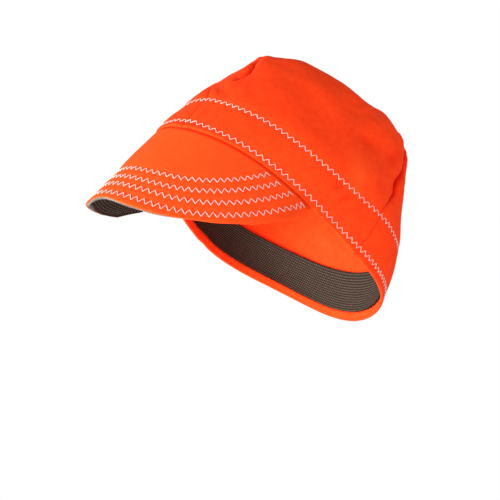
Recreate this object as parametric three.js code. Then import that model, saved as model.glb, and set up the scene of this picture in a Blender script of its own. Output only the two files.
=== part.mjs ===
// A soft protective cap of heavy cotton, in its worn form: four gores, a ribbed band inside
// the rim, and a short stitched peak that curls round the front.
// Millimetres, +Z up. The cap faces -Y, and +X is its left side as it is worn.
import * as THREE from 'three';

// The cap is worn with the front of its rim raised.
const PITCH = 41;

// Cloth
const WALL = 1.2;
const FOLD = 1.0;
const GAP = 0.3;

// Rim: the hem is turned up inside by this much, and it waves a little about its plane.
const HEM_HEIGHT = 5;
const HEM_STEP = 0.6;
const RIM_WAVE_TWO = 2.5;
const RIM_WAVE_FOUR = -1.8;
const RIM_WAVE_FADES_BY = 4;

// Sections of the crown, parallel to the rim, from the rim up to the top where the seams meet.
// Each gives its height, the plane of the side seams, its reach in front of and behind
// that plane, its half width, and how far the cloth is flattened between the seams.
const SECTIONS = [
  { height: 0, seam: 19.5, front: 120, back: 86, side: 78.5, flat: 0.03 },
  { height: 20, seam: 18.5, front: 113.5, back: 76, side: 83.5, flat: 0.027 },
  { height: 41, seam: 17.5, front: 107, back: 60.5, side: 81.5, flat: 0.024 },
  { height: 62, seam: 16.5, front: 96.5, back: 45.5, side: 76, flat: 0.018 },
  { height: 80, seam: 15.5, front: 88.5, back: 32.5, side: 68, flat: 0.01 },
  { height: 94, seam: 15, front: 77, back: 22, side: 55.5, flat: 0.005 },
  { height: 103, seam: 14, front: 52.5, back: 14, side: 40.5, flat: 0 },
  { height: 108.5, seam: 13, front: 26.5, back: 7, side: 21.5, flat: 0 },
  { height: 110.5, seam: 12.5, front: 0, back: 0, side: 0, flat: 0 },
];
const TOP = SECTIONS.length - 1;
const MM_PER_SECTION = 20.8;

// Dents and ridges of the crown: each runs from one place to another, given by its
// azimuth and section, with its half width and its depth. A negative depth stands proud.
const FOLDS = [
  { fromAzimuth: 5, fromSection: 2.3, toAzimuth: 0, toSection: 4.5, width: 7, depth: 2.4 },
  { fromAzimuth: -9, fromSection: 2.6, toAzimuth: -7, toSection: 4.3, width: 8, depth: -2 },
  { fromAzimuth: -1, fromSection: 2.2, toAzimuth: 11, toSection: 1.8, width: 6, depth: 1.2 },
  { fromAzimuth: 98, fromSection: 4.3, toAzimuth: 90, toSection: 2.4, width: 8, depth: 2.6 },
  { fromAzimuth: 60, fromSection: 3.9, toAzimuth: 72, toSection: 5.2, width: 8, depth: 2 },
  { fromAzimuth: 72, fromSection: 3.1, toAzimuth: 84, toSection: 3.2, width: 10, depth: 1.6 },
  { fromAzimuth: 75, fromSection: 2, toAzimuth: 86, toSection: 1.8, width: 11, depth: -1.2 },
];

// Seams draw the cloth in a little.
const SEAM_DIP = 0.5;
const SEAM_WIDTH = 4;

// Sweatband: from the turned hem up to the upper row of stitches.
const BAND_BOTTOM = 5.4;
const BAND_TOP = 30;
const BAND_WALL = 1.2;

// Peak: its half spread round the rim, its tuck under the hem, and its two cloths.
const PEAK_SPREAD = 69;
const PEAK_TUCK = 4;
const PEAK_CLEARANCE = 0.5;
const PEAK_WALL = 1.0;
const PEAK_CORNER = 1.5;
const EDGE_WIDTH = 3.2;
const EDGE_SPREAD = 63;

// The peak's length from the rim and its flare away from straight down, by azimuth.
const PEAK = [
  { azimuth: 0, length: 71, flare: 11.5 },
  { azimuth: 14, length: 73, flare: 10 },
  { azimuth: 28, length: 67.5, flare: 9 },
  { azimuth: 43, length: 57, flare: 11.5 },
  { azimuth: 55, length: 43, flare: 17 },
  { azimuth: 63, length: 26.5, flare: 25 },
  { azimuth: PEAK_SPREAD, length: PEAK_CORNER, flare: 30 },
];

// Faceting
const GORE_ACROSS = 14;
const CROWN_ROWS = 15;
const BAND_AROUND = 64;
const BAND_ROWS = 4;
const PEAK_ACROSS = 36;
const PEAK_ROWS = 7;

// Finishes
const ORANGE = { color: 0xff4a1c, roughness: 0.9, metalness: 0 };
const DARK = { color: 0x2e2825, roughness: 0.95, metalness: 0 };
const GREY = { color: 0xb9b4ab, roughness: 0.9, metalness: 0 };

const radians = THREE.MathUtils.degToRad;

// Catmull-Rom interpolation between four neighbouring values
function spline(a, b, c, d, f) {
  const slopeB = (c - a) / 2;
  const slopeC = (d - b) / 2;
  const rise = c - b;
  return b + f * (slopeB + f * (3 * rise - 2 * slopeB - slopeC + f * (slopeB + slopeC - 2 * rise)));
}

// A column of SECTIONS past either end: sizes change sign over the top, places don't.
function sectionValue(index, column) {
  if (index < 0) {
    return 2 * SECTIONS[0][column] - SECTIONS[-index][column];
  }
  if (index <= TOP) {
    return SECTIONS[index][column];
  }
  const mirrored = SECTIONS[2 * TOP - index][column];
  const isReach = ['front', 'back', 'side'].includes(column);
  return isReach ? -mirrored : mirrored;
}

function section(level) {
  const index = Math.min(Math.floor(level), TOP - 1);
  const values = {};
  for (const column of Object.keys(SECTIONS[0])) {
    const around = [-1, 0, 1, 2].map((step) => sectionValue(index + step, column));
    values[column] = spline(...around, level - index);
  }
  return values;
}

// The rim's height above its mean plane, fading out up the crown
function rimWave(azimuth, level) {
  const wave = RIM_WAVE_TWO * Math.cos(2 * azimuth) + RIM_WAVE_FOUR * Math.cos(4 * azimuth);
  return wave * Math.max(0, 1 - level / RIM_WAVE_FADES_BY);
}

// The crown's outer face before its folds, at an azimuth in radians and a section level
function smoothPoint(azimuth, level) {
  const at = section(level);
  const reach = Math.cos(azimuth) > 0 ? at.front : at.back;
  const round = 1 - at.flat * Math.sin(2 * azimuth) ** 2;
  return new THREE.Vector3(
    at.side * round * Math.sin(azimuth),
    at.seam - reach * round * Math.cos(azimuth),
    at.height + rimWave(azimuth, level),
  );
}

function normalOf(surface, azimuth, level) {
  const turn = 0.01;
  const rise = 0.02;
  const above = Math.min(level + rise, TOP - rise);
  const below = Math.max(above - 2 * rise, 0);
  const round = surface(azimuth + turn, above).sub(surface(azimuth - turn, above));
  const up = surface(azimuth, above).sub(surface(azimuth, below));
  return round.cross(up).normalize();
}

const foldLines = FOLDS.map((fold) => ({
  line: new THREE.Line3(
    smoothPoint(radians(fold.fromAzimuth), fold.fromSection),
    smoothPoint(radians(fold.toAzimuth), fold.toSection),
  ),
  ...fold,
}));

// How far the cloth lies inside the smooth form, from its folds and its seams
function foldDepth(point, level) {
  const nearest = new THREE.Vector3();
  let depth = 0;
  for (const fold of foldLines) {
    fold.line.closestPointToPoint(point, true, nearest);
    depth += fold.depth * Math.exp(-((nearest.distanceTo(point) / fold.width) ** 2));
  }
  const toSeam = Math.min(Math.abs(point.x), Math.abs(point.y - section(level).seam));
  return depth + SEAM_DIP * Math.exp(-((toSeam / SEAM_WIDTH) ** 2));
}

// A point of the crown, at a depth below its outer face
function crownPoint(azimuth, level, depth = 0) {
  const point = smoothPoint(azimuth, level);
  const inward = foldDepth(point, level) + depth;
  return point.addScaledVector(normalOf(smoothPoint, azimuth, level), -inward);
}

// A closed wall from two grids of points, outer and inner, both as [row][column]
function wallGeometry(outer, inner, isRing) {
  const rows = outer.length;
  const columns = outer[0].length;
  const positions = [...outer.flat(), ...inner.flat()].flatMap((point) => point.toArray());
  const index = [];
  const at = (face, row, column) => face * rows * columns + row * columns + (column % columns);
  const quad = (a, b, c, d) => index.push(a, b, c, a, c, d);
  const spans = isRing ? columns : columns - 1;
  for (let row = 0; row < rows - 1; row += 1) {
    for (let column = 0; column < spans; column += 1) {
      const next = column + 1;
      quad(at(0, row, column), at(0, row, next), at(0, row + 1, next), at(0, row + 1, column));
      quad(at(1, row, column), at(1, row + 1, column), at(1, row + 1, next), at(1, row, next));
    }
    if (!isRing) {
      const last = columns - 1;
      quad(at(0, row, 0), at(0, row + 1, 0), at(1, row + 1, 0), at(1, row, 0));
      quad(at(0, row, last), at(1, row, last), at(1, row + 1, last), at(0, row + 1, last));
    }
  }
  for (let column = 0; column < spans; column += 1) {
    const next = column + 1;
    const top = rows - 1;
    quad(at(0, 0, column), at(1, 0, column), at(1, 0, next), at(0, 0, next));
    quad(at(0, top, column), at(0, top, next), at(1, top, next), at(1, top, column));
  }
  const geometry = new THREE.BufferGeometry();
  geometry.setAttribute('position', new THREE.Float32BufferAttribute(positions, 3));
  geometry.setIndex(index);
  if (volumeOf(geometry) < 0) {
    geometry.setIndex(index.reverse());
  }
  geometry.computeVertexNormals();
  return geometry;
}

function volumeOf(geometry) {
  const corners = [0, 1, 2].map(() => new THREE.Vector3());
  const { position } = geometry.attributes;
  const { array } = geometry.index;
  let volume = 0;
  for (let start = 0; start < array.length; start += 3) {
    corners.forEach((corner, step) => corner.fromBufferAttribute(position, array[start + step]));
    volume += corners[0].dot(corners[1].clone().cross(corners[2])) / 6;
  }
  return volume;
}

function part(name, geometry, finish) {
  const mesh = new THREE.Mesh(geometry, new THREE.MeshStandardMaterial(finish));
  mesh.name = name;
  return mesh;
}

function steps(count, from, to) {
  return Array.from({ length: count + 1 }, (_, step) => from + ((to - from) * step) / count);
}

// Crown: one gore fills a quarter between a centre seam and a side seam.
function gore(name, isFront, isLeft) {
  const hemTop = HEM_HEIGHT / MM_PER_SECTION;
  const hemEnd = (HEM_HEIGHT + HEM_STEP) / MM_PER_SECTION;
  const rows = [
    { level: 0, depth: WALL + FOLD },
    { level: hemTop, depth: WALL + FOLD },
    ...steps(CROWN_ROWS, hemEnd, TOP - 0.04).map((level) => ({ level, depth: WALL })),
  ];
  const azimuthsAt = (level) => {
    const at = section(level);
    const fromCentre = Math.asin(GAP / 2 / at.side);
    const toSide = Math.acos(GAP / 2 / (isFront ? at.front : at.back));
    return steps(GORE_ACROSS, fromCentre, toSide).map((turn) => {
      const azimuth = isFront ? turn : Math.PI - turn;
      return isLeft ? azimuth : -azimuth;
    });
  };
  const grid = (depthOf) => rows.map((row) => (
    azimuthsAt(row.level).map((azimuth) => crownPoint(azimuth, row.level, depthOf(row)))));
  return part(name, wallGeometry(grid(() => 0), grid((row) => row.depth), false), ORANGE);
}

// Sweatband: a ring that lies against the inside of the crown
function sweatband() {
  const levels = steps(BAND_ROWS, BAND_BOTTOM / MM_PER_SECTION, BAND_TOP / MM_PER_SECTION);
  const azimuths = steps(BAND_AROUND, 0, 2 * Math.PI).slice(0, -1);
  const grid = (depth) => levels.map((level) => (
    azimuths.map((azimuth) => crownPoint(azimuth, level, depth))));
  const outside = WALL + FOLD + GAP;
  return part('sweatband', wallGeometry(grid(outside), grid(outside + BAND_WALL), true), DARK);
}

function peakValue(azimuth, column) {
  const turn = Math.abs(THREE.MathUtils.radToDeg(azimuth));
  const next = Math.max(1, PEAK.findIndex((row) => row.azimuth >= turn - 1e-9));
  const row = (step) => {
    const index = next + step;
    return index < 0 ? PEAK[-index] : PEAK[Math.min(index, PEAK.length - 1)];
  };
  const share = (turn - row(-1).azimuth) / (row(0).azimuth - row(-1).azimuth);
  return spline(...[-2, -1, 0, 1].map((step) => row(step)[column]), share);
}

// A point of the peak: its distance from the rim, negative in the tuck, and its depth
function peakPoint(azimuth, distance, depth) {
  const inset = WALL + FOLD + PEAK_CLEARANCE + depth;
  if (distance <= 0) {
    return crownPoint(azimuth, -distance / MM_PER_SECTION, inset);
  }
  const rim = crownPoint(azimuth, 0, inset);
  const outward = normalOf(smoothPoint, azimuth, 0).setZ(0).normalize();
  const flare = radians(peakValue(azimuth, 'flare'));
  rim.addScaledVector(outward, distance * Math.sin(flare));
  rim.z -= distance * Math.cos(flare);
  return rim;
}

// A sheet of the peak between two depths, from the tuck to a margin short of its edge
function peakSheet(name, depth, margin, finish) {
  const azimuths = steps(PEAK_ACROSS, -radians(PEAK_SPREAD), radians(PEAK_SPREAD));
  const shares = [-1, ...steps(PEAK_ROWS, 0, 1)];
  const grid = (below) => shares.map((share) => azimuths.map((azimuth) => {
    const reach = Math.max(peakValue(azimuth, 'length') - margin, PEAK_CORNER);
    return peakPoint(azimuth, share < 0 ? -PEAK_TUCK : share * reach, below);
  }));
  return part(name, wallGeometry(grid(depth), grid(depth + PEAK_WALL), false), finish);
}

// The woven tape that finishes the peak's edge from below
function peakEdge() {
  const depth = PEAK_WALL + GAP;
  const azimuths = steps(PEAK_ACROSS, -radians(EDGE_SPREAD), radians(EDGE_SPREAD));
  const margins = [EDGE_WIDTH, GAP];
  const grid = (below) => margins.map((margin) => (
    azimuths.map((azimuth) => peakPoint(azimuth, peakValue(azimuth, 'length') - margin, below))));
  return part('peak_edge', wallGeometry(grid(depth), grid(depth + PEAK_WALL), false), GREY);
}

const cap = new THREE.Group();
cap.rotation.x = -radians(PITCH);
cap.add(
  gore('crown_front_left', true, true),
  gore('crown_front_right', true, false),
  gore('crown_back_left', false, true),
  gore('crown_back_right', false, false),
  sweatband(),
  peakSheet('peak_top', 0, 0, ORANGE),
  peakSheet('peak_lining', PEAK_WALL + GAP, EDGE_WIDTH + GAP, DARK),
  peakEdge(),
);

const model = new THREE.Group();
model.add(cap);

export default model;
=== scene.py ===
"""A soft orange work cap in its worn form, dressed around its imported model.

Four gores, a ribbed sweatband, a short quilted peak with a grey edge, and six rows of zigzag stitches. Forms
are worked out in millimetres in the crown's own frame, with the rim as its ground. A last step pitches them
as the cap is worn and turns them into metres.
"""

import logging
import math
from dataclasses import dataclass
from enum import Enum

import bpy
import numpy as np
from mathutils import Matrix, Vector

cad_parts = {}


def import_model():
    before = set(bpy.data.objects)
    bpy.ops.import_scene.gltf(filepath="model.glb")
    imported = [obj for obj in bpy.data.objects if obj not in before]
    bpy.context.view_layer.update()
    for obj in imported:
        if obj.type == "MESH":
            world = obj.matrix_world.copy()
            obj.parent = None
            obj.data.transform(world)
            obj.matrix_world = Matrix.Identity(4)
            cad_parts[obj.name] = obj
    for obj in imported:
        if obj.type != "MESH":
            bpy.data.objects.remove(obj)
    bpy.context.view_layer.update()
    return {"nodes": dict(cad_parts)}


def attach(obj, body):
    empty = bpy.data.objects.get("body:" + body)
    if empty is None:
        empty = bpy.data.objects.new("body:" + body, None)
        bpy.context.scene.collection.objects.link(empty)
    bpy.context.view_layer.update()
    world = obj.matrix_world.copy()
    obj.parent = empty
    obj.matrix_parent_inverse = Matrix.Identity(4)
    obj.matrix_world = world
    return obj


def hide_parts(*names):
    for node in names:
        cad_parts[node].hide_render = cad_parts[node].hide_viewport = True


Array = np.ndarray
Colour = tuple[float, float, float]
Output = tuple[bpy.types.Node, str | int]
LOG = logging.getLogger("cap")
MM = 0.001
BODY = "root"
RING_SAMPLES = 721
PEAK_SAMPLES = 401


class Slot(Enum):
    """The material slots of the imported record."""

    ORANGE = "orange_cloth"
    DARK = "dark_lining"
    GREY = "grey_tape"
    THREAD = "white_thread"


class NodeGraph:
    """Adds and links the nodes of one tree."""

    def __init__(self, tree: bpy.types.NodeTree) -> None:
        """Starts on a tree."""
        self.tree = tree

    def add(self, kind: str, inputs: dict[str, object] | None = None, **settings: object) -> bpy.types.Node:
        """Adds a node.

        Args:
            kind: The node's type.
            inputs: Its inputs by name, each a value or another node's output.
            settings: Its own properties, set before its inputs.

        Returns:
            The node.
        """
        node = self.tree.nodes.new(kind)
        for name, value in settings.items():
            setattr(node, name, value)
        for name, value in (inputs or {}).items():
            self.feed(node, name, value)
        return node

    def feed(self, node: bpy.types.Node, place: str | int, value: object) -> None:
        """Sets a node's input to a value, or links another node's output to it.

        Args:
            node: The node.
            place: The input's name or number.
            value: A number or a colour, or another node's output.
        """
        if isinstance(value, tuple) and isinstance(value[0], bpy.types.Node):
            self.tree.links.new(value[0].outputs[value[1]], node.inputs[place])
        else:
            node.inputs[place].default_value = value

    def math(self, operation: str, *terms: Output | float) -> Output:
        """Adds a maths node.

        Args:
            operation: Its operation.
            terms: Its inputs, each a number or another node's output.

        Returns:
            Its output.
        """
        node = self.add("ShaderNodeMath", operation=operation)
        for place, term in enumerate(terms):
            self.feed(node, place, term)
        return node, 0

    def mix(self, factor: Output, first: Colour | Output, second: Colour) -> Output:
        """Adds a mix of two colours.

        Args:
            factor: The output that chooses between them.
            first: The colour at 0, or the output that gives it.
            second: The colour at 1.

        Returns:
            The mix's colour.
        """
        if not isinstance(first[0], bpy.types.Node):
            first = (*first, 1)
        ends = {"Factor": factor, "A": first, "B": (*second, 1)}
        return self.add("ShaderNodeMix", ends, data_type="RGBA", clamp_factor=True), "Result"


def hermite(start: Array, end: Array, leave: Array, arrive: Array, share: Array) -> Array:
    """A smooth way between two values.

    Args:
        start: The first value.
        end: The second value.
        leave: The slope at the first.
        arrive: The slope at the second.
        share: How far along the way, from 0 to 1.

    Returns:
        The values there.
    """
    rise = end - start
    bend = 3 * rise - 2 * leave - arrive + share * (leave + arrive - 2 * rise)
    return start + share * (leave + share * bend)


def catmull_rom(rows: Array, place: Array) -> Array:
    """Reads a table between its rows.

    Args:
        rows: The table, with one more row before its first and after its last.
        place: 0 at the first true row, 1 at the next, and so on.

    Returns:
        The interpolated rows, one for each place.
    """
    index = np.clip(np.floor(place).astype(int), 0, len(rows) - 4)
    share = (place - index)[..., None]
    before, start, end, after = (rows[index + step] for step in range(4))
    return hermite(start, end, (end - before) / 2, (after - start) / 2, share)


def smooth_curve(places: tuple[tuple[float, ...], ...], column: int, at: Array) -> Array:
    """Reads a column of a table along a smooth curve through its rows.

    Args:
        places: The rows, each of which starts with its place.
        column: The column to read.
        at: Where to read it. Past the table's ends the end values hold.

    Returns:
        The values there.
    """
    knots, values = np.array(places, float)[:, (0, column)].T
    tangents = np.gradient(values, knots)
    index = np.clip(np.searchsorted(knots, at, side="right") - 1, 0, len(knots) - 2)
    span = knots[index + 1] - knots[index]
    share = np.clip((at - knots[index]) / span, 0, 1)
    leave, arrive = tangents[index] * span, tangents[index + 1] * span
    return hermite(values[index], values[index + 1], leave, arrive, share)


def smooth_step(values: Array, start: float, end: float) -> Array:
    """A smooth rise from 0 at start to 1 at end."""
    share = np.clip((values - start) / (end - start), 0, 1)
    return share * share * (3 - 2 * share)


def bell(values: Array, width: float) -> Array:
    """A bell curve of height 1 with the given half width."""
    return np.exp(-((values / width) ** 2))


def unit(vectors: Array) -> Array:
    """The same directions with length 1."""
    return vectors / np.linalg.norm(vectors, axis=-1, keepdims=True)


def wrapped(angle: Array) -> Array:
    """An angle brought between minus half a turn and half a turn."""
    return (angle + np.pi) % (2 * np.pi) - np.pi


def arc_lengths(points: Array) -> Array:
    """Lengths along a line of points, from 0 at its first."""
    steps = np.linalg.norm(np.diff(points, axis=0), axis=-1)
    return np.concatenate([[0.0], np.cumsum(steps)])


@dataclass(frozen=True)
class Section:
    """One level of the crown, parallel to its rim.

    It holds its height, the plane of the side seams, its reach in front of and behind that plane, its half
    width, and how far the cloth is flattened between the seams.
    """

    height: float
    seam: float
    front: float
    back: float
    side: float
    flat: float


@dataclass(frozen=True)
class Fold:
    """A dent of the cloth along a line of places, each an azimuth in degrees, a section and a depth.

    It also holds its half width, and how much painted shade its deepest part takes. A negative depth stands
    proud, and a negative shade paints light there instead of shade.
    """

    places: tuple[tuple[float, float, float], ...]
    width: float
    shade: float = 0.0


@dataclass(frozen=True)
class Seam:
    """A seam between two gores.

    It has a row for each place: its section, its azimuth in degrees, and the depth of the crease that
    follows it. The crease slopes down to it over a reach on each side, and the shade painted into it
    fades over reaches of its own, with a thin painted dark line along the seam itself. The turned
    allowance lies on the side of smaller azimuths where its side is -1, and of greater ones where it is 1.
    """

    places: tuple[tuple[float, float, float], ...]
    allowance_side: int
    slopes: tuple[float, float] = (4.0, 4.0)
    groove: float = 0.55
    groove_width: float = 0.75
    painted_shade_slopes: tuple[float, float] = (2.6, 2.2)
    painted_shade_depth: float = 4.6
    painted_line_shade: float = 0.35
    painted_line_width: float = 0.55

    def azimuth(self, level: Array) -> Array:
        """The seam's azimuth in radians at some levels of the crown."""
        return np.radians(smooth_curve(self.places, 1, level))

    def crease(self, level: Array, away: Array) -> Array:
        """How deep the crease is at some levels of the crown and signed distances from the seam."""
        return self.reaching(level, away, self.slopes)

    def shade(self, level: Array, away: Array) -> Array:
        """How much shade is painted into and beside the seam's crease, at some levels and distances."""
        crease = self.reaching(level, away, self.painted_shade_slopes) / self.painted_shade_depth
        # A thin line of painted shade along the seam itself.
        return np.maximum(crease, self.painted_line_shade * bell(away, self.painted_line_width))

    def reaching(self, level: Array, away: Array, slopes: tuple[float, float]) -> Array:
        """The crease's depth where it fades over some reaches before and after the seam."""
        slope = np.exp(-np.abs(away) / np.where(away < 0, *slopes))
        return smooth_curve(self.places, 2, level) * (slope + self.groove * bell(away, self.groove_width))


FRONT_SEAM = Seam(
    (
        (0, 6.2, 0), (0.6, 4, 0), (1.1, 2.2, 0), (1.7, 0.5, 0.2), (2.07, -4.1, 0.3), (2.33, -4.6, 0.5),
        (2.46, -1, 1.2), (2.58, 2.4, 2), (2.8, 3.5, 2.5), (3, 3.9, 2.6), (3.15, 4.2, 2.6), (3.36, 3.1, 2.6),
        (3.7, 0.3, 2.5), (4.1, -3.3, 1.8), (4.4, -4.7, 0.5), (4.7, -4.8, 0), (5.2, -4, 0), (6.5, -2, 0),
        (8, 0, 0),
    ),
    allowance_side=1,
    slopes=(2.6, 2.2),
)
LEFT_SEAM = Seam(
    (
        (0, 91, 0), (0.6, 90.4, 0), (1.25, 90, 0), (1.56, 89.4, 0.2), (1.8, 90.2, 0.7), (2.2, 94, 1.8),
        (2.49, 96, 2.8), (2.66, 94.8, 3.2), (2.85, 95.4, 3.3), (3.2, 100, 3.2), (3.68, 107, 2.9),
        (4.1, 109.5, 2.7), (4.45, 109.5, 2.3), (4.72, 106.5, 1.5), (4.95, 101, 0.4), (5.4, 95, 0),
        (6.5, 92, 0), (8, 90, 0),
    ),
    allowance_side=-1,
    slopes=(9.0, 1.9),
    painted_shade_slopes=(1.2, 1.8),
    painted_shade_depth=2.4,
)
RIGHT_SEAM = Seam(
    ((0, -90, 0), (1.5, -91, 0.2), (2.3, -90, 1), (3.2, -89, 2), (4.2, -91, 1.4), (5.2, -92, 0), (8, -90, 0)),
    allowance_side=1,
    slopes=(1.8, 7.0),
    painted_shade_slopes=(3.0, 1.6),
    painted_shade_depth=2.6,
)
BACK_SEAM = Seam(
    ((0, 180, 0), (1.5, 179, 0), (2.4, 180, 0.8), (3.2, 181, 1.2), (4.2, 180, 0.6), (5, 179, 0), (8, 180, 0)),
    allowance_side=-1,
    slopes=(5.0, 3.0),
)


@dataclass(frozen=True)
class CrownRow:
    """A stitched row round the crown.

    It holds its name, the azimuth in degrees where it starts, how many legs lap over that start, its
    stitches' pitch and width, and its height above the rim at a few azimuths from back to back.
    """

    name: str
    start: float
    overlap: int
    pitch: float
    width: float
    places: tuple[tuple[float, float], ...]

    def height(self, around: Array) -> Array:
        """The row's height in millimetres at some azimuths."""
        return smooth_curve(self.places, 1, np.degrees(wrapped(around)))


@dataclass(frozen=True)
class PeakRow:
    """A stitched row across the peak.

    It holds how far below the rim it lies in the middle, the azimuth in degrees where it meets the rim, how
    square its turn down to there is, and its stitches' pitch and width.
    """

    depth: float
    end: float
    power: float
    pitch: float
    width: float


class Surface:
    """A cloth surface over two coordinates: around the crown, in radians, and along the cloth."""

    turn_step = 0.01
    along_step = 0.02

    def plain(self, around: Array, along: Array) -> Array:
        """Points of the surface before its folds."""
        raise NotImplementedError

    def point(self, around: Array, along: Array, depth: Array | float = 0.0) -> Array:
        """Points of the folded surface, at a depth below its outer face."""
        raise NotImplementedError

    def slopes(self, around: Array, along: Array) -> tuple[Array, Array]:
        """Changes of the plain surface for each unit of its two coordinates.

        Args:
            around: Azimuths in radians.
            along: The second coordinate.

        Returns:
            The two slopes, around and along.
        """
        turn, rise = self.turn_step, self.along_step
        across = (self.plain(around + turn, along) - self.plain(around - turn, along)) / (2 * turn)
        up = (self.plain(around, along + rise) - self.plain(around, along - rise)) / (2 * rise)
        return across, up

    def face_normal(self, around: Array, along: Array) -> Array:
        """Outward directions of the plain surface."""
        across, up = self.slopes(around, along)
        return unit(np.cross(across, up))

    def moved(self, around: Array, along: Array, move: Array) -> tuple[Array, Array]:
        """The coordinates after a small move in the surface.

        Args:
            around: Azimuths in radians.
            along: The second coordinate.
            move: The moves, as vectors in millimetres.

        Returns:
            The new azimuths and the new second coordinate.
        """
        across, up = self.slopes(around, along)
        aa, ab, bb = (across * across).sum(-1), (across * up).sum(-1), (up * up).sum(-1)
        ma, mb = (move * across).sum(-1), (move * up).sum(-1)
        spread = aa * bb - ab * ab
        return around + (ma * bb - mb * ab) / spread, along + (mb * aa - ma * ab) / spread


@dataclass
class ZigzagRow:
    """A row of zigzag stitches along a line on a surface, and the way that it draws the cloth in."""

    name: str
    surface: Surface
    around: Array
    along: Array
    pitch: float
    height: float
    is_ring: bool = False
    overlap: int = 0
    groove: float = 0.16
    groove_width: float = 2.6
    dimple: float = 0.3
    dimple_width: float = 1.5

    def __post_init__(self) -> None:
        """Measures the row and fits a whole number of stitches in it."""
        self.lengths = arc_lengths(self.surface.plain(self.around, self.along))
        self.pitch = self.lengths[-1] / round(self.lengths[-1] / self.pitch)

    def draw_in(self, around: Array, offset: Array) -> Array:
        """How far the stitches draw the cloth in.

        Args:
            around: Azimuths in radians.
            offset: Distances across the row, in millimetres.

        Returns:
            Depths in millimetres.
        """
        turned = (around - self.around[0]) % (2 * np.pi) if self.is_ring else around - self.around[0]
        phase = 2 * np.pi * np.interp(turned, self.around - self.around[0], self.lengths) / self.pitch
        high = bell(offset - self.height / 2, self.dimple_width) * (1 - np.cos(phase)) / 2
        low = bell(offset + self.height / 2, self.dimple_width) * (1 + np.cos(phase)) / 2
        inside = (turned > 0) & (turned < self.around[-1] - self.around[0]) | self.is_ring
        return np.where(inside, self.groove * bell(offset, self.groove_width) + self.dimple * (high + low), 0)

    def holes(self) -> tuple[Array, Array]:
        """The needle holes of the row, in order.

        Returns:
            Their points and the outward directions there, in millimetres in the crown's frame.
        """
        count = round(2 * self.lengths[-1] / self.pitch) + 1 + self.overlap
        length = np.arange(count) * self.pitch / 2
        if self.is_ring:
            length = length % self.lengths[-1]
        around = np.interp(length, self.lengths, self.around)
        along = np.interp(length, self.lengths, self.along)
        plain = self.surface.plain(around, along)
        normal = self.surface.face_normal(around, along)
        ahead = np.gradient(plain, axis=0)
        side = unit(np.cross(normal, ahead))
        hand = np.where(np.arange(count) % 2 == 0, -1.0, 1.0)[:, None]
        around, along = self.surface.moved(around, along, side * hand * self.height / 2)
        return self.surface.point(around, along), normal


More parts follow.
